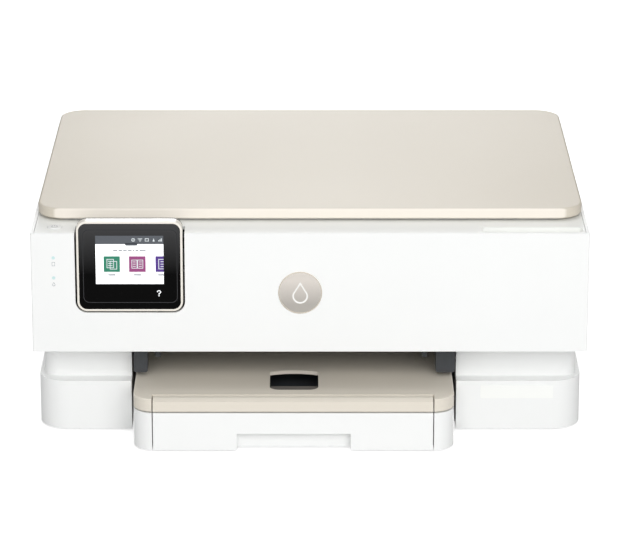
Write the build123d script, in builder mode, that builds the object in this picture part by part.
from build123d import *
import os
from math import pi

# Inkjet all-in-one printer: scanner on top, print engine in the middle, paper tray below.
# Millimetres. +X is the user's right when facing the machine, +Y points to its back, +Z is up.
# The origin is on the table, under the middle of the closed machine.

os.makedirs("parts", exist_ok=True)

# ---------------------------------------------------------------- driving sizes
width = 460.0
depth = 383.0
height = 191.0

tray_reach = 32.5        # the paper tray stands out this far ahead of the front door
base_setback = 19.4      # the base sits this far behind the front door
neck_setback = 33.1      # and the neck above the base's ledge this far
foot_height = 2.0
ledge_z = 44.6
split_z = 77.5           # where the upper casing overhangs the neck
lid_thickness = 9.0
lid_gap = 2.0
lid_setback = 34.6

wall = 2.6               # casing wall
skin = 2.8               # front door and side wall thickness
seam = 0.4               # gap between neighbouring covers
running = 0.05           # radial clearance of a turning shaft
slip = 0.5               # clearance of a sliding piece

half = width / 2
front_y = -depth / 2
rear_y = depth / 2
face_y = front_y + tray_reach
base_y = face_y + base_setback
neck_y = face_y + neck_setback
deck_z = height - lid_thickness - lid_gap
lid_z = deck_z + lid_gap
lid_front_y = face_y + lid_setback

base_half = half - 2.0
neck_half = half - 6.0
base_corner = 25.0
neck_corner = 12.0
rear_corner = 8.0

paper_width = 216.0      # letter paper, the widest it takes
paper_x = -13.5          # the paper path lies left of the middle: the service station is on the right
guide_room = 24.9        # from the sheet's edge to the tray's outside
tray_half = paper_width / 2 + guide_room
tray_left = paper_x - tray_half
tray_right = paper_x + tray_half
bay_gap = 3.4
bay_left = tray_left - bay_gap
bay_right = tray_right + bay_gap
bay_rear_y = 119.5
partition = 2.0

cover_z = 36.2           # underside of the output tray
output_z = 47.0          # its top, where the printed page lands
tray_front_top_z = 34.8       # top of the white tray front


def block(x_span, y_span, z_span, mode=Mode.ADD):
    """A box between two corners, in whichever part is being built."""
    sizes = [span[1] - span[0] for span in (x_span, y_span, z_span)]
    middle = [(span[1] + span[0]) / 2 for span in (x_span, y_span, z_span)]
    with Locations(tuple(middle)):
        Box(*sizes, mode=mode)


def rod(x_span, y, z, radius, mode=Mode.ADD):
    """A cylinder along X between two x values."""
    middle = (x_span[0] + x_span[1]) / 2
    with Locations(Location((middle, y, z), (0, 90, 0))):
        Cylinder(radius, x_span[1] - x_span[0], mode=mode)


def save(piece, name):
    """Label a finished piece and write it as its own STEP file."""
    piece.part.label = name
    export_step(piece.part, f"parts/{name}.step")


def around(middle, size):
    """The two ends of a span of one size about its middle."""
    return (middle - size / 2, middle + size / 2)


# ---------------------------------------------------------------- base housing
base_floor_z = foot_height + wall
rear_hatch_half = 122.0
rear_hatch_z = (12.0, 73.0)
hatch_gap = 0.6
hatch_pin_radius = 0.8
hatch_stub = 2.0
hatch_pivot_y = rear_y - wall / 2
hatch_pivot_z = rear_hatch_z[0] + wall / 2
inlet_x = -192.0
inlet_z = 30.0
inlet_width = 26.0
inlet_height = 18.0
usb_x = -150.0
usb_z = 30.0
usb_width = 16.0
usb_height = 14.0
port_gap = 0.1

with BuildPart() as base_housing:
    with BuildSketch(Plane.XY.offset(foot_height)) as tub_outline:
        with Locations((0, (base_y + rear_y) / 2)):
            Rectangle(2 * base_half, rear_y - base_y)
        fillet(tub_outline.vertices().group_by(Axis.Y)[0], base_corner)
        fillet(tub_outline.vertices().group_by(Axis.Y)[-1], rear_corner)
    extrude(amount=ledge_z - foot_height)
    with BuildSketch(Plane.XY.offset(ledge_z)) as neck_outline:
        with Locations((0, (neck_y + rear_y) / 2)):
            Rectangle(2 * neck_half, rear_y - neck_y)
        fillet(neck_outline.vertices().group_by(Axis.Y)[0], neck_corner)
        fillet(neck_outline.vertices().group_by(Axis.Y)[-1], rear_corner)
    extrude(amount=split_z - ledge_z)
    # the hollow inside: wide in the tub, a little narrower in the neck
    with BuildSketch(Plane.XY.offset(base_floor_z)) as tub_hollow:
        with Locations((0, (base_y + rear_y) / 2)):
            Rectangle(2 * (base_half - wall), rear_y - base_y - 2 * wall)
        fillet(tub_hollow.vertices().group_by(Axis.Y)[0], base_corner - wall)
        fillet(tub_hollow.vertices().group_by(Axis.Y)[-1], rear_corner - wall)
    extrude(amount=ledge_z - wall - base_floor_z, mode=Mode.SUBTRACT)
    with BuildSketch(Plane.XY.offset(ledge_z - wall)) as neck_hollow:
        with Locations((0, (neck_y + rear_y) / 2)):
            Rectangle(2 * (neck_half - wall), rear_y - neck_y - 2 * wall)
        fillet(neck_hollow.vertices().group_by(Axis.Y)[0], neck_corner - wall)
        fillet(neck_hollow.vertices().group_by(Axis.Y)[-1], rear_corner - wall)
    extrude(amount=split_z - ledge_z + wall, mode=Mode.SUBTRACT)
    # the two walls beside the paper tray, then the bay's mouth through the front
    for inner_x, outer_x in ((bay_left, bay_left - partition), (bay_right, bay_right + partition)):
        block(sorted((inner_x, outer_x)), (base_y + wall, bay_rear_y), (base_floor_z, ledge_z - wall))
        block(sorted((inner_x, outer_x)), (base_y, neck_y + wall), (foot_height, ledge_z))
        block(sorted((inner_x, outer_x)), (neck_y, neck_y + wall), (ledge_z, split_z))
    block((bay_left, bay_right), (base_y - 1, neck_y + wall + 1), (foot_height - 1, split_z + 1),
          Mode.SUBTRACT)
    # openings in the rear wall: the jam hatch and the two sockets
    block(around(paper_x, 2 * rear_hatch_half + 2 * hatch_gap), (rear_y - wall - 6, rear_y + 1),
          (rear_hatch_z[0] - hatch_gap, rear_hatch_z[1] + hatch_gap), Mode.SUBTRACT)
    rod(around(paper_x, 2 * (rear_hatch_half + hatch_gap + hatch_stub)), hatch_pivot_y, hatch_pivot_z,
        hatch_pin_radius + running, Mode.SUBTRACT)
    block(around(inlet_x, inlet_width + 2 * port_gap), (rear_y - wall - 6, rear_y + 1),
          around(inlet_z, inlet_height + 2 * port_gap), Mode.SUBTRACT)
    block(around(usb_x, usb_width + 2 * port_gap), (rear_y - wall - 6, rear_y + 1),
          around(usb_z, usb_height + 2 * port_gap), Mode.SUBTRACT)
save(base_housing, "base_housing")

# four rubber feet under the base
foot_radius = 8.0
foot_x = base_half - 30.0
foot_front_y = base_y + 30.0
foot_rear_y = rear_y - 25.0
with BuildPart() as feet:
    with BuildSketch() as foot_discs:
        with Locations(*[(x, y) for x in (-foot_x, foot_x) for y in (foot_front_y, foot_rear_y)]):
            Circle(foot_radius)
    extrude(amount=foot_height)
    chamfer(feet.edges().group_by(Axis.Z)[0], 0.5)
save(feet, "feet")

# blank plate on the right of the base's front
plate_x = (143.1, 204.0)
plate_z = (29.4, 40.6)
plate_thickness = 0.4
with BuildPart() as name_plate:
    block(plate_x, (base_y - plate_thickness, base_y), plate_z)
    fillet(name_plate.edges().filter_by(Axis.Y), 0.8)
save(name_plate, "name_plate")

# sockets in the rear wall
inlet_depth = 22.0
port_wall = 2.0
with BuildPart() as power_inlet:
    block(around(inlet_x, inlet_width), (rear_y - inlet_depth, rear_y), around(inlet_z, inlet_height))
    with BuildSketch(Plane.XZ.offset(-rear_y)) as inlet_mouth:
        with Locations((inlet_x, inlet_z)):
            SlotOverall(inlet_width - 2 * port_wall, inlet_height - 4 * port_wall)
    extrude(amount=inlet_depth - port_wall, mode=Mode.SUBTRACT)
    for pin_x in (inlet_x - 4.3, inlet_x + 4.3):
        with BuildSketch(Plane.XZ.offset(-(rear_y - 6))) as inlet_pin:
            with Locations((pin_x, inlet_z)):
                Circle(1.2)
        extrude(amount=inlet_depth - port_wall - 6)
save(power_inlet, "power_inlet")

with BuildPart() as usb_port:
    block(around(usb_x, usb_width), (rear_y - inlet_depth, rear_y), around(usb_z, usb_height))
    block(around(usb_x, usb_width - 2 * port_wall), (rear_y - inlet_depth + port_wall, rear_y + 1),
          around(usb_z, usb_height - 2 * port_wall), Mode.SUBTRACT)
    block(around(usb_x, 5.6), (rear_y - inlet_depth, rear_y - 6), around(usb_z, 3.2))
save(usb_port, "usb_port")

# ---------------------------------------------------------------- upper casing
door_back_y = face_y + skin
side_front_y = door_back_y + seam
door_pivot_y = face_y + 5.8
door_pivot_z = split_z + 2.0
knuckle_radius = 2.4
door_pin_radius = 1.1
sole_front_y = door_pivot_y + knuckle_radius + seam
sole_z = split_z + 3.0           # top of the plate that closes the overhang from below
well_half = 212.0                # the print engine stands in a well through that plate
well_front_y = neck_y + 6.0
door_ear_x = 204.0
door_ear_width = 6.0
lug_width = 4.0
deck_thickness = 3.0
boss_radius = 4.0
boss_places = [(x, y) for x in (-220.5, 220.5) for y in (-115.0, 170.0)]

with BuildPart() as upper_housing:
    with BuildSketch(Plane.XY.offset(split_z)) as upper_outline:
        with Locations((0, (side_front_y + rear_y) / 2)):
            Rectangle(width, rear_y - side_front_y)
        fillet(upper_outline.vertices().group_by(Axis.Y)[-1], rear_corner)
    extrude(amount=deck_z - split_z)
    with BuildSketch(Plane.XY.offset(sole_z)) as upper_hollow:
        with Locations((0, (side_front_y + rear_y) / 2 - skin)):
            Rectangle(width - 2 * skin, rear_y - side_front_y)
        fillet(upper_hollow.vertices().group_by(Axis.Y)[-1], rear_corner - skin)
    extrude(amount=deck_z - sole_z, mode=Mode.SUBTRACT)
    block((-well_half, well_half), (well_front_y, rear_y - skin), (split_z - 1, sole_z + 1), Mode.SUBTRACT)
    # the sole stops short of the door, whose bottom edge swings through here
    block((-half - 1, half + 1), (side_front_y - 1, sole_front_y),
          (split_z - 1, door_pivot_z + knuckle_radius), Mode.SUBTRACT)
    # two lugs beside each of the door's ears
    for side in (-1, 1):
        for lug_side in (-1, 1):
            lug_offset = lug_side * (door_ear_width + lug_width + seam) / 2
            lug_span = around(side * door_ear_x + lug_offset, lug_width)
            block(lug_span, (door_pivot_y, sole_front_y + 3), (split_z, sole_z))
            rod(lug_span, door_pivot_y, door_pivot_z, knuckle_radius)
            rod(lug_span, door_pivot_y, door_pivot_z, door_pin_radius, Mode.SUBTRACT)
    # screw bosses that carry the deck
    with BuildSketch(Plane.XY.offset(sole_z)) as deck_bosses:
        with Locations(*boss_places):
            Circle(boss_radius)
    extrude(amount=deck_z - deck_thickness - sole_z)
save(upper_housing, "upper_housing")

# ---------------------------------------------------------------- front door
panel_left = -192.2
panel_right = -104.8
panel_bottom_z = 113.0
panel_top_z = 190.5
panel_gap = 1.6
panel_corner = 8.25
cutout_x = (panel_left - panel_gap, panel_right + panel_gap)
cutout_back_y = face_y + 21.0
emblem_x = -8.1
emblem_z = 129.0
emblem_radius = 18.1
emblem_thickness = 0.5
lamp_x = -211.3
lamp_radius = 1.4
lamp_heights = (159.0, 141.7)
rib_depth = 5.0

with BuildPart() as front_door:
    with BuildSketch(Plane.XZ.offset(-face_y)) as door_outline:
        with Locations((0, (split_z + deck_z) / 2)):
            Rectangle(width, deck_z - split_z)
        with Locations((sum(cutout_x) / 2, (panel_bottom_z - panel_gap + deck_z + 40) / 2)):
            RectangleRounded(cutout_x[1] - cutout_x[0], deck_z + 40 - panel_bottom_z + panel_gap,
                             panel_corner + panel_gap, mode=Mode.SUBTRACT)
    extrude(amount=-skin)
    fillet(front_door.edges().filter_by(Axis.Z).group_by(Axis.X)[0].sort_by(Axis.Y)[:1], 1.2)
    fillet(front_door.edges().filter_by(Axis.Z).group_by(Axis.X)[-1].sort_by(Axis.Y)[:1], 1.2)
    # stiffening ribs on the inside
    for rib_z in (split_z + 12, emblem_z - 26):
        block((-half + 20, half - 20), (door_back_y, door_back_y + rib_depth), around(rib_z, 1.6))
    # hinge ears
    for side in (-1, 1):
        ear_span = around(side * door_ear_x, door_ear_width)
        block(ear_span, (door_back_y, door_pivot_y), (split_z, door_pivot_z + knuckle_radius))
        rod(ear_span, door_pivot_y, door_pivot_z, knuckle_radius)
        rod(ear_span, door_pivot_y, door_pivot_z, door_pin_radius + running, Mode.SUBTRACT)
    for lamp_z in lamp_heights:
        with BuildSketch(Plane.XZ.offset(-face_y)) as lamp_hole:
            with Locations((lamp_x, lamp_z)):
                Circle(lamp_radius)
        extrude(amount=-skin, mode=Mode.SUBTRACT)
save(front_door, "front_door")

with BuildPart() as status_lights:
    for lamp_z in lamp_heights:
        with BuildSketch(Plane.XZ.offset(-face_y)) as lamp_disc:
            with Locations((lamp_x, lamp_z)):
                Circle(lamp_radius)
        extrude(amount=-skin)
save(status_lights, "status_lights")

with BuildPart() as emblem_disc:
    with BuildSketch(Plane.XZ.offset(-face_y)) as emblem_circle:
        with Locations((emblem_x, emblem_z)):
            Circle(emblem_radius)
    extrude(amount=emblem_thickness)
save(emblem_disc, "emblem_disc")

# ---------------------------------------------------------------- deck and scanner
panel_front_y = face_y - 1.0
panel_depth = 12.0
panel_rim = 1.8
frame_depth = 9.0
glass_recess = 0.3
panel_glass_thickness = 1.6
screen_x = (-176.4, -120.5)
screen_z = (136.7, 178.3)
screen_thickness = 1.0
panel_x = (panel_left + panel_right) / 2
panel_z = (panel_bottom_z + panel_top_z) / 2
panel_width = panel_right - panel_left
panel_height = panel_top_z - panel_bottom_z
panel_back_y = panel_front_y + panel_depth
panel_pivot_y = panel_back_y + 4.5
panel_pivot_z = 172.0
panel_pin_radius = 1.5
panel_knuckle_radius = 2.6
panel_boss_width = 4.0
panel_boss_reach = 24.0
panel_ear_width = 4.0
deck_under_z = deck_z - deck_thickness
deck_half = half - skin - seam
deck_rear_y = rear_y - skin - seam
bed_x = -5.0
bed_y = 34.0
bed_length = 300.0
bed_width = 218.0
glass_lap = 6.0
glass_thickness = 2.0
tub_floor_z = 158.0
tub_wall = 2.0
button_x = -211.0
button_y = face_y + 18.4
button_radius = 6.0
button_gap = 0.3
grip_x = (141.7, 224.7)
grip_y = (face_y + 4.4, face_y + 17.0)
grip_depth = 10.0
grip_wall = 1.2

with BuildPart() as scanner_deck:
    block((-deck_half, deck_half), (side_front_y, deck_rear_y), (deck_under_z, deck_z))
    # tub of the finger recess behind the door's top edge
    block((grip_x[0] - grip_wall, grip_x[1] + grip_wall), (side_front_y, grip_y[1] + grip_wall),
          (deck_z - grip_depth - grip_wall, deck_z))
    with BuildSketch(Plane.XY.offset(deck_z - grip_depth)) as grip_hollow:
        with Locations((sum(grip_x) / 2, sum(grip_y) / 2)):
            RectangleRounded(grip_x[1] - grip_x[0], grip_y[1] - grip_y[0], 3.0)
    extrude(amount=grip_depth + 1, mode=Mode.SUBTRACT)
    block(cutout_x, (side_front_y - 1, cutout_back_y), (deck_under_z - 1, deck_z + 1), Mode.SUBTRACT)
    block(around(bed_x, bed_length), around(bed_y, bed_width), (deck_under_z - 1, deck_z + 1), Mode.SUBTRACT)
    with Locations((button_x, button_y, deck_z)):
        Hole(button_radius + button_gap)
    fillet(scanner_deck.edges().filter_by(Axis.Z).group_by(Axis.Y)[-1], rear_corner - skin)
    # bracket behind the cut-out that the control panel swings on
    block(around(panel_x, 2 * panel_boss_reach + 24), (cutout_back_y, cutout_back_y + 9),
          (deck_under_z - 6, deck_under_z))
    for side in (-1, 1):
        ear_middle = panel_x + side * (panel_boss_reach + (panel_boss_width + panel_ear_width) / 2 + seam)
        ear_span = around(ear_middle, panel_ear_width)
        block(ear_span, (panel_pivot_y, cutout_back_y), around(panel_pivot_z, 2 * panel_knuckle_radius))
        rod(ear_span, panel_pivot_y, panel_pivot_z, panel_knuckle_radius)
        rod(ear_span, panel_pivot_y, panel_pivot_z, panel_pin_radius, Mode.SUBTRACT)
save(scanner_deck, "scanner_deck")

with BuildPart() as scanner_glass:
    block(around(bed_x, bed_length + 2 * glass_lap), around(bed_y, bed_width + 2 * glass_lap),
          (deck_under_z - glass_thickness, deck_under_z))
save(scanner_glass, "scanner_glass")

tub_half_x = bed_length / 2 + glass_lap + 8.0
tub_half_y = bed_width / 2 + glass_lap + 2.0
tub_top_z = deck_under_z - glass_thickness
rail_z = tub_floor_z + 6.0
rail_radius = 3.0
with BuildPart() as scanner_tub:
    block(around(bed_x, 2 * tub_half_x), around(bed_y, 2 * tub_half_y), (tub_floor_z, tub_top_z))
    block(around(bed_x, 2 * (tub_half_x - tub_wall)), around(bed_y, 2 * (tub_half_y - tub_wall)),
          (tub_floor_z + tub_wall, tub_top_z + 1), Mode.SUBTRACT)
    rod(around(bed_x, 2 * tub_half_x + 2), bed_y, rail_z, rail_radius, Mode.SUBTRACT)
save(scanner_tub, "scanner_tub")

# the bar with the image sensor, parked at the left end of the bed
scan_bar_width = 18.0
scan_bar_length = bed_width + 2.0
scan_park_x = bed_x - bed_length / 2 + scan_bar_width / 2 - 6.0
scan_bar_bottom_z = tub_floor_z + tub_wall + 0.6
scan_bar_top_z = tub_top_z - 0.8
with BuildPart() as scan_carriage:
    block(around(scan_park_x, scan_bar_width), around(bed_y, scan_bar_length),
          (scan_bar_bottom_z, scan_bar_top_z))
    block(around(scan_park_x, 3.0), around(bed_y, scan_bar_length - 8),
          (scan_bar_top_z - 2, scan_bar_top_z + 1), Mode.SUBTRACT)
    rod(around(scan_park_x, scan_bar_width + 2), bed_y, rail_z, rail_radius + running, Mode.SUBTRACT)
save(scan_carriage, "scan_carriage")

# ---------------------------------------------------------------- lid
lid_half = half - 3.0
lid_rear_y = rear_y - 1.4
lid_corner = 22.0
lid_wall = 3.0
lid_skin = 2.5
hinge_y = lid_rear_y - 5.0
hinge_z = lid_z + 4.4
hinge_x = 150.0
hinge_width = 20.0
hinge_radius = 2.5
hinge_pin_radius = 1.25
hinge_pocket_front_y = hinge_y - 8.0

with BuildPart() as scanner_lid:
    with BuildSketch(Plane.XY.offset(lid_z)) as lid_outline:
        with Locations((0, (lid_front_y + lid_rear_y) / 2)):
            Rectangle(2 * lid_half, lid_rear_y - lid_front_y)
        fillet(lid_outline.vertices().group_by(Axis.Y)[0], lid_corner)
        fillet(lid_outline.vertices().group_by(Axis.Y)[-1], lid_corner)
    extrude(amount=lid_thickness)
    fillet(scanner_lid.faces().sort_by(Axis.Z)[-1].edges(), 1.8)
    chamfer(scanner_lid.faces().sort_by(Axis.Z)[0].edges(), 1.2)
    block((-lid_half + lid_corner, lid_half - lid_corner),
          (lid_front_y + lid_wall, hinge_pocket_front_y - lid_wall),
          (lid_z - 1, height - lid_skin), Mode.SUBTRACT)
    block((-lid_half + lid_wall, lid_half - lid_wall),
          (lid_front_y + lid_corner, hinge_pocket_front_y - lid_wall), (lid_z - 1, height - lid_skin),
          Mode.SUBTRACT)
    for side in (-1, 1):
        block(around(side * hinge_x, hinge_width + 2 * slip), (hinge_pocket_front_y, lid_rear_y + 1),
              (lid_z - 1, hinge_z + hinge_radius + 0.3), Mode.SUBTRACT)
        rod(around(side * hinge_x, hinge_width + 16.0), hinge_y, hinge_z, hinge_pin_radius + running,
            Mode.SUBTRACT)
save(scanner_lid, "scanner_lid")

with BuildPart() as lid_hinge_posts:
    for side in (-1, 1):
        post_span = around(side * hinge_x, hinge_width)
        block(post_span, (hinge_y - hinge_radius, hinge_y + hinge_radius), (deck_z, hinge_z))
        rod(post_span, hinge_y, hinge_z, hinge_radius)
        rod(post_span, hinge_y, hinge_z, hinge_pin_radius, Mode.SUBTRACT)
save(lid_hinge_posts, "lid_hinge_posts")

liner_gap = 0.5
liner_z = lid_z + 1.0
pad_gap = 3.0
pad_z = deck_under_z + 0.5
with BuildPart() as lid_backing_pad:
    block((-lid_half + lid_corner + liner_gap, lid_half - lid_corner - liner_gap),
          (lid_front_y + lid_wall + liner_gap, hinge_pocket_front_y - lid_wall - liner_gap),
          (liner_z, height - lid_skin))
    block(around(bed_x, bed_length - 2 * pad_gap), around(bed_y, bed_width - 2 * pad_gap), (pad_z, liner_z))
save(lid_backing_pad, "lid_backing_pad")

# ---------------------------------------------------------------- control panel
with BuildPart() as panel_frame:
    with BuildSketch(Plane.XZ.offset(-panel_front_y)) as frame_outline:
        with Locations((panel_x, panel_z)):
            RectangleRounded(panel_width, panel_height, panel_corner)
    extrude(amount=-frame_depth)
    fillet(panel_frame.faces().sort_by(Axis.Y)[0].edges(), 0.8)
    with BuildSketch(Plane.XZ.offset(-panel_front_y)) as frame_hollow:
        with Locations((panel_x, panel_z)):
            RectangleRounded(panel_width - 2 * panel_rim, panel_height - 2 * panel_rim,
                             panel_corner - panel_rim)
    extrude(amount=-frame_depth, mode=Mode.SUBTRACT)
save(panel_frame, "panel_frame")

with BuildPart() as panel_glass:
    with BuildSketch(Plane.XZ.offset(-(panel_front_y + glass_recess))) as glass_outline:
        with Locations((panel_x, panel_z)):
            RectangleRounded(panel_width - 2 * panel_rim, panel_height - 2 * panel_rim,
                             panel_corner - panel_rim)
    extrude(amount=-panel_glass_thickness)
    block(screen_x, (panel_front_y, panel_front_y + glass_recess + screen_thickness), screen_z, Mode.SUBTRACT)
save(panel_glass, "panel_glass")

with BuildPart() as display_screen:
    block(screen_x, (panel_front_y + glass_recess, panel_front_y + glass_recess + screen_thickness), screen_z)
save(display_screen, "display_screen")

with BuildPart() as panel_back_cover:
    with BuildSketch(Plane.XZ.offset(-panel_back_y)) as back_outline:
        with Locations((panel_x, panel_z)):
            RectangleRounded(panel_width, panel_height, panel_corner)
    extrude(amount=panel_depth - frame_depth)
    fillet(panel_back_cover.faces().sort_by(Axis.Y)[-1].edges(), 1.2)
    for side in (-1, 1):
        boss_span = around(panel_x + side * panel_boss_reach, panel_boss_width)
        block(boss_span, (panel_back_y - 1, panel_pivot_y), around(panel_pivot_z, 2 * panel_knuckle_radius))
        rod(boss_span, panel_pivot_y, panel_pivot_z, panel_knuckle_radius)
        rod(boss_span, panel_pivot_y, panel_pivot_z, panel_pin_radius + running, Mode.SUBTRACT)
save(panel_back_cover, "panel_back_cover")

# ---------------------------------------------------------------- power button
button_travel = 1.0
button_rise = 0.6
button_flange = 1.2
stem_radius = 2.0
switch_top_z = 164.0
with BuildPart() as power_button:
    with BuildSketch(Plane.XY.offset(deck_under_z - seam)) as cap_disc:
        with Locations((button_x, button_y)):
            Circle(button_radius)
    extrude(amount=deck_thickness + seam + button_rise)
    fillet(power_button.edges().sort_by(Axis.Z)[-1], 0.5)
    with BuildSketch(Plane.XY.offset(deck_under_z - seam)) as flange_disc:
        with Locations((button_x, button_y)):
            Circle(button_radius + 1.4)
    extrude(amount=-button_flange)
    with BuildSketch(Plane.XY.offset(deck_under_z - seam - button_flange)) as stem_disc:
        with Locations((button_x, button_y)):
            Circle(stem_radius)
    extrude(amount=-(deck_under_z - seam - button_flange - switch_top_z - button_travel - seam))
save(power_button, "power_button")

# ---------------------------------------------------------------- paper tray
tray_floor_z = base_floor_z + 0.6
tray_floor = 2.0
tray_wall = 2.2
tray_side_z = 30.0
tray_corner = 18.0
front_panel_x = (-129.8, 101.7)
front_seam = 0.9
tray_front_inner_y = front_y + 14.0
tray_rear_y = bay_rear_y - 1.8
pick_notch_half = 34.0
notch_x = (-60.5, 33.7)
notch_z = 16.7
notch_depth = 9.0
front_panel_thickness = 12.0

with BuildPart() as paper_tray:
    # the two white corner pieces that show beside the front panel
    with BuildSketch(Plane.XY.offset(foot_height)) as tray_outline:
        with Locations((paper_x, (front_y + tray_front_inner_y) / 2 + 4)):
            Rectangle(2 * tray_half, tray_front_inner_y - front_y + 8)
        fillet(tray_outline.vertices().group_by(Axis.Y)[0], tray_corner)
    extrude(amount=tray_front_top_z - foot_height)
    block((front_panel_x[0] - front_seam, front_panel_x[1] + front_seam),
          (front_y - 1, front_y + front_panel_thickness + 0.2),
          (foot_height - 1, tray_front_top_z + 1), Mode.SUBTRACT)
    block((tray_left + tray_wall, tray_right - tray_wall), (tray_front_inner_y, tray_front_inner_y + 20),
          (tray_floor_z + tray_floor, tray_front_top_z + 1), Mode.SUBTRACT)
    # the pan that holds the paper
    block((tray_left, tray_right), (tray_front_inner_y, tray_rear_y), (tray_floor_z, tray_side_z))
    block((tray_left + tray_wall, tray_right - tray_wall), (tray_front_inner_y, tray_rear_y - tray_wall),
          (tray_floor_z + tray_floor, tray_side_z + 1), Mode.SUBTRACT)
    # the pick arm passes over the low middle of the rear wall
    block(around(paper_x, 2 * pick_notch_half), (tray_rear_y - tray_wall - 1, tray_rear_y + 1),
          (tray_floor_z + tray_floor, tray_side_z + 1), Mode.SUBTRACT)
save(paper_tray, "paper_tray")

with BuildPart() as tray_front_panel:
    block(front_panel_x, (front_y, front_y + front_panel_thickness), (foot_height, tray_front_top_z))
    fillet(tray_front_panel.edges().filter_by(Axis.X).group_by(Axis.Y)[0], 0.6)
    # finger notch: open at the bottom, its ceiling slants down towards the back
    with BuildSketch(Plane.YZ.offset(notch_x[0])) as notch_side:
        with BuildLine() as notch_outline:
            Polyline((front_y - 1, foot_height - 1), (front_y - 1, notch_z), (front_y + 0.8, notch_z),
                     (front_y + notch_depth, notch_z - 3.5), (front_y + notch_depth, foot_height - 1),
                     close=True)
        make_face()
    extrude(amount=notch_x[1] - notch_x[0], mode=Mode.SUBTRACT)
save(tray_front_panel, "tray_front_panel")

# guides that hold the paper's sides and end
guide_gap = 0.6
guide_width = 3.0
guide_length = 60.0
guide_y = 0.0
guide_top_z = 27.0
guide_foot = 20.0
pan_floor_z = tray_floor_z + tray_floor
for name, side in (("width_guide_left", -1), ("width_guide_right", 1)):
    with BuildPart() as width_guide:
        inner_x = paper_x + side * (paper_width / 2 + guide_gap)
        block(sorted((inner_x, inner_x + side * guide_width)), around(guide_y, guide_length),
              (pan_floor_z + slip, guide_top_z))
        block(sorted((inner_x - side * guide_foot, inner_x)), around(guide_y, guide_length / 3),
              (pan_floor_z + slip, pan_floor_z + slip + 0.8))
    save(width_guide, name)

length_guide_y = tray_front_inner_y + 2.0
with BuildPart() as length_guide:
    block(around(paper_x, 70.0), (length_guide_y, length_guide_y + guide_width),
          (pan_floor_z + slip, guide_top_z))
    block(around(paper_x, 40.0), (length_guide_y, length_guide_y + 26),
          (pan_floor_z + slip, pan_floor_z + slip + 0.8))
save(length_guide, "length_guide")

# ---------------------------------------------------------------- output tray on top of the paper tray
cover_rear_y = 18.0
cover_skin = 3.0
window_x = (-33.5, 6.9)
window_y = (face_y - 9.0, face_y + 38.9)
window_corner = 8.0
extender_z = (38.6, 41.4)
lip_depth = 11.5
lip_chamfer = 5.0
photo_z = (31.0, 33.6)
photo_half = 54.0
photo_wall = 1.6
photo_rear_y = 4.0
handle_reach = 22.0

with BuildPart() as output_tray:
    with BuildSketch(Plane.XY.offset(cover_z)) as cover_outline:
        with Locations((paper_x, (front_y + cover_rear_y) / 2)):
            Rectangle(2 * tray_half, cover_rear_y - front_y)
        fillet(cover_outline.vertices().group_by(Axis.Y)[0], tray_corner)
    extrude(amount=output_z - cover_z)
    fillet(output_tray.faces().sort_by(Axis.Z)[-1].edges().group_by(Axis.Y)[:3], 1.0)
    # hollow below the top skin, and the place of the extender's lip
    block((front_panel_x[0] - front_seam, front_panel_x[1] + front_seam), (front_y - 1, cover_rear_y + 1),
          (cover_z - 1, output_z - cover_skin), Mode.SUBTRACT)
    block((front_panel_x[0] - front_seam, front_panel_x[1] + front_seam), (front_y - 1, front_y + lip_depth + seam),
          (cover_z - 1, output_z + 1), Mode.SUBTRACT)
    # window over the photo tray's handle, with a bowed rear edge
    with BuildSketch(Plane.XY.offset(output_z - cover_skin - 1)) as window_outline:
        with BuildLine() as window_edge:
            Polyline((window_x[1], window_y[1] - 4), (window_x[1], window_y[0]), (window_x[0], window_y[0]),
                     (window_x[0], window_y[1] - 4))
            ThreePointArc((window_x[0], window_y[1] - 4), (sum(window_x) / 2, window_y[1]),
                          (window_x[1], window_y[1] - 4))
        make_face()
        fillet(window_outline.vertices().group_by(Axis.Y)[0], window_corner)
    extrude(amount=cover_skin + 2, mode=Mode.SUBTRACT)
save(output_tray, "output_tray")

fork_x = (window_x[0] - 6.0, window_x[1] + 6.0)
fork_front_y = window_y[0] - 2.0
with BuildPart() as output_extender:
    block((front_panel_x[0], front_panel_x[1]), (front_y, front_y + lip_depth), (cover_z, output_z - 0.6))
    lip_edge = output_extender.edges().filter_by(Axis.X).sort_by(Axis.Z)[-2:].sort_by(Axis.Y)[0]
    chamfer(lip_edge, 1.6, lip_chamfer)
    block((front_panel_x[0] + 1, front_panel_x[1] - 1), (front_y + lip_depth - 1, cover_rear_y - 2),
          extender_z)
    block(fork_x, (fork_front_y, cover_rear_y), (extender_z[0] - 1, extender_z[1] + 1), Mode.SUBTRACT)
save(output_extender, "output_extender")

# shallow tray for photo paper under the output tray; its handle shows in the window
photo_front_y = fork_front_y + 3.0
with BuildPart() as photo_tray:
    block(around(sum(window_x) / 2, 2 * photo_half), (photo_front_y, photo_rear_y), photo_z)
    block(around(sum(window_x) / 2, 2 * (photo_half - photo_wall)), (photo_front_y + 26, photo_rear_y + 1),
          (photo_z[0] + 1.0, photo_z[1] + 1), Mode.SUBTRACT)
save(photo_tray, "photo_tray")

with BuildPart() as photo_tray_handle:
    block((window_x[0] + 0.8, window_x[1] - 0.8), (window_y[0] + 0.8, window_y[0] + handle_reach),
          (photo_z[1], output_z - 3.4))
    fillet(photo_tray_handle.edges().filter_by(Axis.Z).group_by(Axis.Y)[0], window_corner - 1)
    chamfer(photo_tray_handle.edges().filter_by(Axis.X).group_by(Axis.Z)[-1].sort_by(Axis.Y)[-1], 4.0)
save(photo_tray_handle, "photo_tray_handle")

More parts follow.
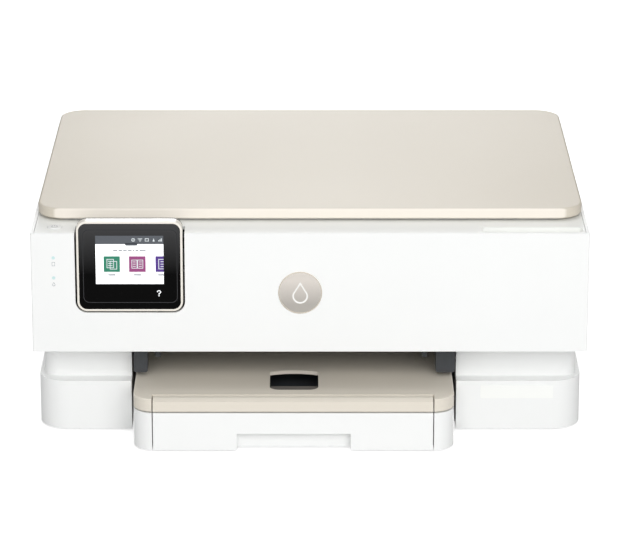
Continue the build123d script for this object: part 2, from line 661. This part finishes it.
# grey blocks that hang from the overhang over the output tray's corners
corner_guide_y = (face_y + 20.5, neck_y + wall)
corner_guide_z = 52.0
tab_z = 62.0
with BuildPart() as output_corner_guides:
    for guide_x in ((tray_left - 1.2, tray_left + 10.3), (tray_right - 14.0, tray_right + 2.0)):
        block(guide_x, corner_guide_y, (corner_guide_z, split_z))
    fillet(output_corner_guides.edges().filter_by(Axis.Y).group_by(Axis.Z)[0], 1.5)
    for tab_x in (tray_left + 18.7, tray_right - 23.2):
        block(around(tab_x, 4.4), (neck_y - 2.5, neck_y + wall), (tab_z, split_z))
save(output_corner_guides, "output_corner_guides")

# ---------------------------------------------------------------- print engine: frame and platen
plate_thickness_metal = 1.6
frame_left_x = -206.0
frame_right_x = 206.0
frame_front_y = -66.0
frame_rear_y = 82.0
frame_bottom_z = 46.0
frame_top_z = 150.0
beam_y = 56.0
beam_bottom_z = 84.0
drive_x = -182.5
idler_x = 193.0
pulley_y = 36.0
pulley_radius = 5.0
belt_gap = 0.4
belt_thickness = 1.2
belt_z = (108.0, 114.0)
shelf_z = 103.0
motor_shaft_radius = 1.5

roller_z = 63.0
feed_y = 22.0
gear_teeth = 36
pinion_teeth = 12
module_size = 1.0
gear_radius = gear_teeth * module_size / 2
pinion_radius = pinion_teeth * module_size / 2
exit_y = feed_y - 4 * gear_radius
idler_y = feed_y - 2 * gear_radius
pinion_y = feed_y + gear_radius + pinion_radius
shaft_radius = 3.0
roller_radius = 6.0
pinch_radius = 4.0
pinch_axle_radius = 1.5
nip = 0.35                        # room for the paper between a roller and its partner
star_radius = 4.0
rod_y = 18.0
rod_z = 92.0
rod_radius = 4.0
pick_pivot_y = 70.0
pick_pivot_z = 52.0
path_left = paper_x - paper_width / 2
path_right = paper_x + paper_width / 2
platen_right_x = path_right + 20.0

bearing_radius = shaft_radius + running
shaft_places = [(feed_y, roller_z, bearing_radius), (exit_y, roller_z, bearing_radius),
                (rod_y, rod_z, rod_radius),
                (idler_y, roller_z, shaft_radius), (pick_pivot_y, pick_pivot_z, shaft_radius)]
with BuildPart() as side_frames:
    for plate_x_span in ((frame_left_x, frame_left_x + plate_thickness_metal),
                         (frame_right_x - plate_thickness_metal, frame_right_x)):
        block(plate_x_span, (frame_front_y, frame_rear_y), (frame_bottom_z, frame_top_z))
        fillet(side_frames.edges().filter_by(Axis.X).group_by(Axis.X)[-1 if plate_x_span[0] > 0 else 0], 6.0)
    for place_y, place_z, place_radius in shaft_places:
        rod((frame_left_x - 1, frame_right_x + 1), place_y, place_z, place_radius, Mode.SUBTRACT)
save(side_frames, "side_frames")

with BuildPart() as chassis_beam:
    inner_span = (frame_left_x + plate_thickness_metal, frame_right_x - plate_thickness_metal)
    block(inner_span, (beam_y, beam_y + plate_thickness_metal), (beam_bottom_z, frame_top_z))
    block(inner_span, (beam_y - 8, beam_y), (frame_top_z - plate_thickness_metal, frame_top_z))
    # shelves for the carriage motor on the left and the belt's idler on the right
    for shelf_x in (drive_x, idler_x):
        block(around(shelf_x, 20.0), (pulley_y - 12, beam_y), (shelf_z, shelf_z + plate_thickness_metal))
    with Locations((drive_x, pulley_y, shelf_z + plate_thickness_metal)):
        Hole(3.0, depth=plate_thickness_metal)
    with Locations((idler_x, pulley_y, shelf_z + plate_thickness_metal)):
        Hole(motor_shaft_radius, depth=plate_thickness_metal)
save(chassis_beam, "chassis_beam")

platen_top_z = 66.0
platen_front_y = exit_y + roller_radius + 2.0
platen_rear_y = feed_y - roller_radius - 3.0
rib_count = 15
exit_ear_x = platen_right_x - 6.0
with BuildPart() as platen:
    block((path_left - 10, platen_right_x), (platen_front_y, platen_rear_y),
          (platen_top_z - 6, platen_top_z - 2))
    with Locations(((path_left + path_right) / 2, (platen_front_y + platen_rear_y) / 2, platen_top_z - 1)):
        with GridLocations(paper_width / (rib_count - 1), 0, rib_count, 1):
            Box(1.6, platen_rear_y - platen_front_y, 2.0)
    # ear with the right-hand bearing of the exit shaft
    block(around(exit_ear_x, 3.0), (exit_y - 6, platen_front_y + 2), (platen_top_z - 11, platen_top_z - 2))
    rod(around(exit_ear_x, 4.0), exit_y, roller_z, shaft_radius + running, Mode.SUBTRACT)
save(platen, "platen")

# ---------------------------------------------------------------- rollers and their gears
exit_right_x = exit_ear_x + 3.0
gear_x = (frame_left_x + plate_thickness_metal + 2.0, frame_left_x + plate_thickness_metal + 8.0)
tyre_count = 6
tyre_length = 14.0
tyre_middles = [path_left + paper_width * (n + 0.5) / tyre_count for n in range(tyre_count)]
with BuildPart() as feed_roller:
    rod((frame_left_x - 1.5, frame_right_x + 1.5), feed_y, roller_z, shaft_radius)
    rod((path_left - 4, path_right + 4), feed_y, roller_z, roller_radius)
save(feed_roller, "feed_roller")

with BuildPart() as exit_roller:
    rod((frame_left_x - 1.5, exit_right_x), exit_y, roller_z, shaft_radius)
    for tyre_x in tyre_middles:
        rod(around(tyre_x, tyre_length), exit_y, roller_z, roller_radius)
save(exit_roller, "exit_roller")

# small rollers that press the sheet on the feed roller, and star wheels over the exit roller
pinch_z = roller_z + roller_radius + nip + pinch_radius
star_z = roller_z + roller_radius + nip + star_radius
holder_z = (78.4, 80.4)
axle_span = (path_left - 6, path_right + 6)
holder_ear = 3.0
with BuildPart() as pinch_rollers:
    rod((axle_span[0] - holder_ear, axle_span[1] + holder_ear), feed_y, pinch_z, pinch_axle_radius)
    for tyre_x in tyre_middles:
        rod(around(tyre_x, tyre_length + 6), feed_y, pinch_z, pinch_radius)
save(pinch_rollers, "pinch_rollers")

with BuildPart() as star_wheels:
    rod((axle_span[0] - holder_ear, axle_span[1] + holder_ear), exit_y, star_z, pinch_axle_radius)
    for tyre_x in tyre_middles:
        with BuildSketch(Plane.YZ.offset(tyre_x - 0.5)) as star_outline:
            with Locations((exit_y, star_z)):
                RegularPolygon(star_radius, 12)
        extrude(amount=1.0)
save(star_wheels, "star_wheels")

with BuildPart() as roller_holders:
    for row_y, axle_z in ((feed_y, pinch_z), (exit_y, star_z)):
        block((axle_span[0] - holder_ear, axle_span[1] + holder_ear), around(row_y, 8.0), holder_z)
        for end_x in ((axle_span[0] - holder_ear, axle_span[0]), (axle_span[1], axle_span[1] + holder_ear)):
            block(end_x, around(row_y, 6.0), (axle_z - 3, holder_z[0]))
        rod((axle_span[0] - 9, axle_span[1] + 9), row_y, axle_z, pinch_axle_radius + running, Mode.SUBTRACT)
save(roller_holders, "roller_holders")

# spur gears with straight-sided teeth
tooth_height_out = 0.9 * module_size
tooth_height_in = 1.15 * module_size
backlash = 0.35


def tooth_points(teeth):
    """The corners of one tooth that points along the sketch's first axis."""
    pitch_radius = teeth * module_size / 2
    half_tooth = pi * module_size / 4 - backlash / 2
    slope = 0.36
    root = pitch_radius - tooth_height_in
    tip = pitch_radius + tooth_height_out
    root_half = half_tooth + slope * tooth_height_in
    tip_half = half_tooth - slope * tooth_height_out
    return [(root - 1, -root_half), (root, -root_half), (tip, -tip_half), (tip, tip_half),
            (root, root_half), (root - 1, root_half)]


gear_places = {"feed_gear": (feed_y, gear_teeth, 0.0), "idler_gear": (idler_y, gear_teeth, 0.5),
               "exit_gear": (exit_y, gear_teeth, 0.0), "motor_pinion": (pinion_y, pinion_teeth, 0.5)}
gear_bores = {"feed_gear": shaft_radius, "idler_gear": shaft_radius + running, "exit_gear": shaft_radius,
              "motor_pinion": motor_shaft_radius + running}
for name, (gear_y, teeth, phase) in gear_places.items():
    with BuildPart() as spur_gear:
        with BuildSketch(Plane.YZ.offset(gear_x[0])) as gear_outline:
            with Locations((gear_y, roller_z)):
                Circle(teeth * module_size / 2 - tooth_height_in)
            with Locations((gear_y, roller_z)):
                with PolarLocations(0, teeth, start_angle=phase * 360 / teeth):
                    Polygon(*tooth_points(teeth), align=None)
            with Locations((gear_y, roller_z)):
                Circle(gear_bores[name], mode=Mode.SUBTRACT)
        extrude(amount=gear_x[1] - gear_x[0])
    save(spur_gear, name)

# ---------------------------------------------------------------- paper pick-up from the tray
pick_radius = 9.5
pick_roller_y = pick_pivot_y + 30.0
pick_roller_z = pan_floor_z + 0.6 + pick_radius
arm_width = 10.0
arm_eye_radius = 6.0
arm_end_radius = 5.0
pick_axle_radius = 2.5
tyre_half = 11.0
pick_stack = arm_width / 2 + seam + tyre_half

with BuildPart() as pick_arm:
    with BuildSketch(Plane.YZ.offset(paper_x - arm_width / 2)) as arm_side:
        with Locations((pick_pivot_y, pick_pivot_z)):
            Circle(arm_eye_radius)
        with Locations((pick_roller_y, pick_roller_z)):
            Circle(arm_end_radius)
        make_hull()
        with Locations((pick_pivot_y, pick_pivot_z)):
            Circle(shaft_radius + running, mode=Mode.SUBTRACT)
        with Locations((pick_roller_y, pick_roller_z)):
            Circle(pick_axle_radius + running, mode=Mode.SUBTRACT)
    extrude(amount=arm_width)
save(pick_arm, "pick_arm")

with BuildPart() as pick_roller:
    rod(around(paper_x, 2 * pick_stack), pick_roller_y, pick_roller_z, pick_axle_radius)
    for side in (-1, 1):
        tyre_middle = paper_x + side * (arm_width / 2 + seam + tyre_half / 2)
        rod(around(tyre_middle, tyre_half), pick_roller_y, pick_roller_z, pick_radius)
save(pick_roller, "pick_roller")

# ---------------------------------------------------------------- print carriage, cartridges, service station
carriage_park_x = 150.0
carriage_width = 84.0
carriage_y = (-58.0, 14.0)
carriage_z = (84.0, 122.0)
carriage_wall = 2.4
cartridge_width = 36.0
cartridge_pitch = 39.0
cartridge_top_z = 132.0
nose_y = (-37.0, -11.0)
nose_half = 13.0
nose_z = 67.6
latch_y = carriage_y[0] + 3.0
latch_z = carriage_z[1] - 1.0
latch_radius = 1.8
latch_pin_radius = 0.9
clamp_half = 7.0

with BuildPart() as print_carriage:
    block(around(carriage_park_x, carriage_width), carriage_y, carriage_z)
    for side in (-1, 1):
        bay_x = around(carriage_park_x + side * cartridge_pitch / 2, cartridge_width + 2 * seam)
        block(bay_x, (carriage_y[0] + carriage_wall, carriage_y[1] - carriage_wall),
              (carriage_z[0] + carriage_wall, carriage_z[1] + 1), Mode.SUBTRACT)
        block(around(carriage_park_x + side * cartridge_pitch / 2, 2 * nose_half + 2 * seam),
              (nose_y[0] - seam, nose_y[1] + seam), (carriage_z[0] - 1, carriage_z[1]), Mode.SUBTRACT)
    # front edge lowered for the latches, with a pin for each
    block(around(carriage_park_x, carriage_width - 2 * carriage_wall),
          (carriage_y[0] - 1, carriage_y[0] + carriage_wall + 1),
          (latch_z - latch_radius - 1.2, carriage_z[1] + 1), Mode.SUBTRACT)
    block(around(carriage_park_x, cartridge_pitch - cartridge_width - 1.2),
          (carriage_y[0], carriage_y[0] + 8), carriage_z)
    rod(around(carriage_park_x, carriage_width), latch_y, latch_z, latch_pin_radius)
    # sleeve on the rail, and the clamp round the belt
    block(around(carriage_park_x, carriage_width), (carriage_y[1] - carriage_wall, rod_y + rod_radius + 4.0),
          (carriage_z[0], rod_z + rod_radius + 5))
    block(around(carriage_park_x, 2 * clamp_half), (carriage_y[1] - carriage_wall, pulley_y - 2.5),
          (rod_z + rod_radius + 4, belt_z[1] + 2))
    block(around(carriage_park_x, 2 * clamp_half + 2),
          (pulley_y - pulley_radius - 2 * belt_gap - belt_thickness, pulley_y - pulley_radius),
          (belt_z[0] - belt_gap, belt_z[1] + 3), Mode.SUBTRACT)
    rod(around(carriage_park_x, carriage_width + 2), rod_y, rod_z, rod_radius + running, Mode.SUBTRACT)
save(print_carriage, "print_carriage")

for name, side in (("colour_cartridge", -1), ("black_cartridge", 1)):
    with BuildPart() as ink_cartridge:
        middle_x = carriage_park_x + side * cartridge_pitch / 2
        block(around(middle_x, cartridge_width),
              (carriage_y[0] + carriage_wall + 5, carriage_y[1] - carriage_wall - seam),
              (carriage_z[0] + carriage_wall, cartridge_top_z))
        fillet(ink_cartridge.edges().filter_by(Axis.X).group_by(Axis.Z)[-1], 3.0)
        block(around(middle_x, 2 * nose_half), nose_y, (nose_z, carriage_z[0] + carriage_wall))
    save(ink_cartridge, name)

# a latch over each cartridge: it swings up and forward on the carriage's front pin
for name, side in (("cartridge_latch_left", -1), ("cartridge_latch_right", 1)):
    with BuildPart() as cartridge_latch:
        latch_span = around(carriage_park_x + side * cartridge_pitch / 2, cartridge_width - 4)
        rod(latch_span, latch_y, latch_z, latch_radius)
        block(latch_span, (latch_y - latch_radius, latch_y + latch_radius), (latch_z, cartridge_top_z + 3))
        block(latch_span, (latch_y - latch_radius, latch_y + 20),
              (cartridge_top_z + 0.6, cartridge_top_z + 3))
        fillet(cartridge_latch.edges().filter_by(Axis.X).group_by(Axis.Z)[-1].sort_by(Axis.Y)[:1], 1.5)
        rod(around(carriage_park_x, carriage_width), latch_y, latch_z, latch_pin_radius + running,
            Mode.SUBTRACT)
    save(cartridge_latch, name)

with BuildPart() as carriage_belt:
    with BuildSketch(Plane.XY.offset(belt_z[0])) as belt_loop:
        with Locations(((drive_x + idler_x) / 2, pulley_y)):
            SlotCenterToCenter(idler_x - drive_x, 2 * (pulley_radius + belt_gap + belt_thickness))
            SlotCenterToCenter(idler_x - drive_x, 2 * (pulley_radius + belt_gap), mode=Mode.SUBTRACT)
    extrude(amount=belt_z[1] - belt_z[0])
save(carriage_belt, "carriage_belt")

pulley_teeth = 18
for name, pulley_x in (("drive_pulley", drive_x), ("idler_pulley", idler_x)):
    with BuildPart() as belt_pulley:
        with BuildSketch(Plane.XY.offset(belt_z[0] - 1.2)) as pulley_outline:
            with Locations((pulley_x, pulley_y)):
                Circle(pulley_radius)
                with PolarLocations(pulley_radius, pulley_teeth):
                    Circle(0.4, mode=Mode.SUBTRACT)
            with Locations((pulley_x, pulley_y)):
                Circle(motor_shaft_radius + running, mode=Mode.SUBTRACT)
        extrude(amount=belt_z[1] - belt_z[0] + 1.6)
    save(belt_pulley, name)

motor_radius = 12.5
motor_length = 26.0
with BuildPart() as drive_motors:
    # carriage motor: it hangs under the left shelf with its shaft up
    with Locations((drive_x, pulley_y, shelf_z - motor_length / 2)):
        Cylinder(motor_radius, motor_length)
    with Locations((drive_x, pulley_y, shelf_z + 7.0)):
        Cylinder(motor_shaft_radius, 14.0)
    # feed motor: its shaft turns the pinion beside the feed gear
    rod((gear_x[1] + 6, gear_x[1] + 6 + motor_length), pinion_y, roller_z, motor_radius - 1)
    rod((gear_x[0] - 0.5, gear_x[1] + 6), pinion_y, roller_z, motor_shaft_radius)
save(drive_motors, "drive_motors")

# steel rods and pins that stand still in the casings and frames
with BuildPart() as steel_rods:
    rod((frame_left_x, frame_right_x), rod_y, rod_z, rod_radius)
    rod((frame_left_x, frame_right_x), pick_pivot_y, pick_pivot_z, shaft_radius)
    rod((frame_left_x, gear_x[1] + 1), idler_y, roller_z, shaft_radius)
    rod(around(bed_x, 2 * tub_half_x), bed_y, rail_z, rail_radius)
    rod(around(panel_x, 2 * (panel_boss_reach + panel_boss_width / 2 + panel_ear_width + seam)),
        panel_pivot_y, panel_pivot_z, panel_pin_radius)
    for side in (-1, 1):
        rod(around(side * door_ear_x, door_ear_width + 2 * lug_width + seam), door_pivot_y, door_pivot_z,
            door_pin_radius)
        rod(around(side * hinge_x, hinge_width + 14.0), hinge_y, hinge_z, hinge_pin_radius)
    with Locations((idler_x, pulley_y, (shelf_z + belt_z[1] + 2) / 2)):
        Cylinder(motor_shaft_radius, belt_z[1] + 2 - shelf_z)
save(steel_rods, "steel_rods")

station_x = (platen_right_x + 3.0, frame_right_x - plate_thickness_metal - 6.0)
station_y = (-56.0, 8.0)
station_z = (49.0, 61.0)
cap_top_z = nose_z - 0.5
with BuildPart() as service_station:
    block(station_x, station_y, station_z)
    block((station_x[0] + 2, station_x[1] - 2), (station_y[0] + 2, station_y[1] - 2),
          (station_z[0] + 2, station_z[1] + 1), Mode.SUBTRACT)
    for side in (-1, 1):
        cap_x = carriage_park_x + side * cartridge_pitch / 2
        block(around(cap_x, 2 * nose_half - 2), (nose_y[0] + 1, nose_y[1] - 1), (station_z[0] + 1, cap_top_z))
        block(around(cap_x, 2 * nose_half - 5), (nose_y[0] + 2.5, nose_y[1] - 2.5),
              (cap_top_z - 3, cap_top_z + 1), Mode.SUBTRACT)
    fillet(service_station.edges().filter_by(Axis.Z).group_by(Axis.X)[0], 2.0)
save(service_station, "service_station")

# ---------------------------------------------------------------- rear of the paper path
turn_y = bay_rear_y + 9.0
turn_z = 39.0
turn_radius = 29.0
guide_thickness = 2.0
with BuildPart() as rear_paper_guide:
    with BuildSketch(Plane.YZ.offset(path_left - 5)) as guide_side:
        with BuildLine() as guide_line:
            outer = turn_radius + guide_thickness / 2
            inner = turn_radius - guide_thickness / 2
            Polyline((turn_y, turn_z - inner), (turn_y - 4, turn_z - inner), (turn_y - 4, turn_z - outer),
                     (turn_y, turn_z - outer))
            ThreePointArc((turn_y, turn_z - outer), (turn_y + outer, turn_z), (turn_y, turn_z + outer))
            Polyline((turn_y, turn_z + outer), (turn_y - 24, turn_z + outer), (turn_y - 24, turn_z + inner),
                     (turn_y, turn_z + inner))
            ThreePointArc((turn_y, turn_z + inner), (turn_y + inner, turn_z), (turn_y, turn_z - inner))
        make_face()
    extrude(amount=paper_width + 10)
save(rear_paper_guide, "rear_paper_guide")

with BuildPart() as rear_door:
    hatch_span = around(paper_x, 2 * rear_hatch_half)
    block(hatch_span, (rear_y - wall, rear_y), (hatch_pivot_z, rear_hatch_z[1]))
    rod(hatch_span, hatch_pivot_y, hatch_pivot_z, wall / 2)
    rod(around(paper_x, 2 * (rear_hatch_half + hatch_gap + hatch_stub - 0.3)), hatch_pivot_y, hatch_pivot_z,
        hatch_pin_radius)
    block(around(paper_x, 40.0), (rear_y - 1.2, rear_y + 1),
          (rear_hatch_z[1] - 9, rear_hatch_z[1] - 3), Mode.SUBTRACT)
save(rear_door, "rear_door")

# ---------------------------------------------------------------- electronics
board_x = (-well_half + 0.6, -well_half + 2.2)
board_y = (-100.0, 150.0)
board_z = (48.0, 128.0)
chip_places = [(-60.0, 100.0, 22.0), (-10.0, 70.0, 16.0), (40.0, 105.0, 14.0), (95.0, 80.0, 18.0)]
with BuildPart() as logic_board:
    block(board_x, board_y, board_z)
    for chip_y, chip_z, chip_size in chip_places:
        block((board_x[1], board_x[1] + 1.6), around(chip_y, chip_size), around(chip_z, chip_size))
    # the power button's switch on its own small board, hung from the deck
    block(around(button_x, 12.0), around(button_y, 12.0), (switch_top_z - 6, switch_top_z))
    block(around(button_x, 14.0), around(button_y, 26.0), (switch_top_z - 8, switch_top_z - 6))
    for post_y in (button_y - 11, button_y + 11):
        with Locations((button_x, post_y, (switch_top_z - 6 + deck_under_z) / 2)):
            Cylinder(1.6, deck_under_z - switch_top_z + 6)
save(logic_board, "logic_board")

with BuildPart() as power_supply:
    block((-214.0, bay_left - partition - 6.0), (70.0, 164.0), (base_floor_z + 1, ledge_z - wall - 1))
    fillet(power_supply.edges().filter_by(Axis.Z), 4.0)
save(power_supply, "power_supply")
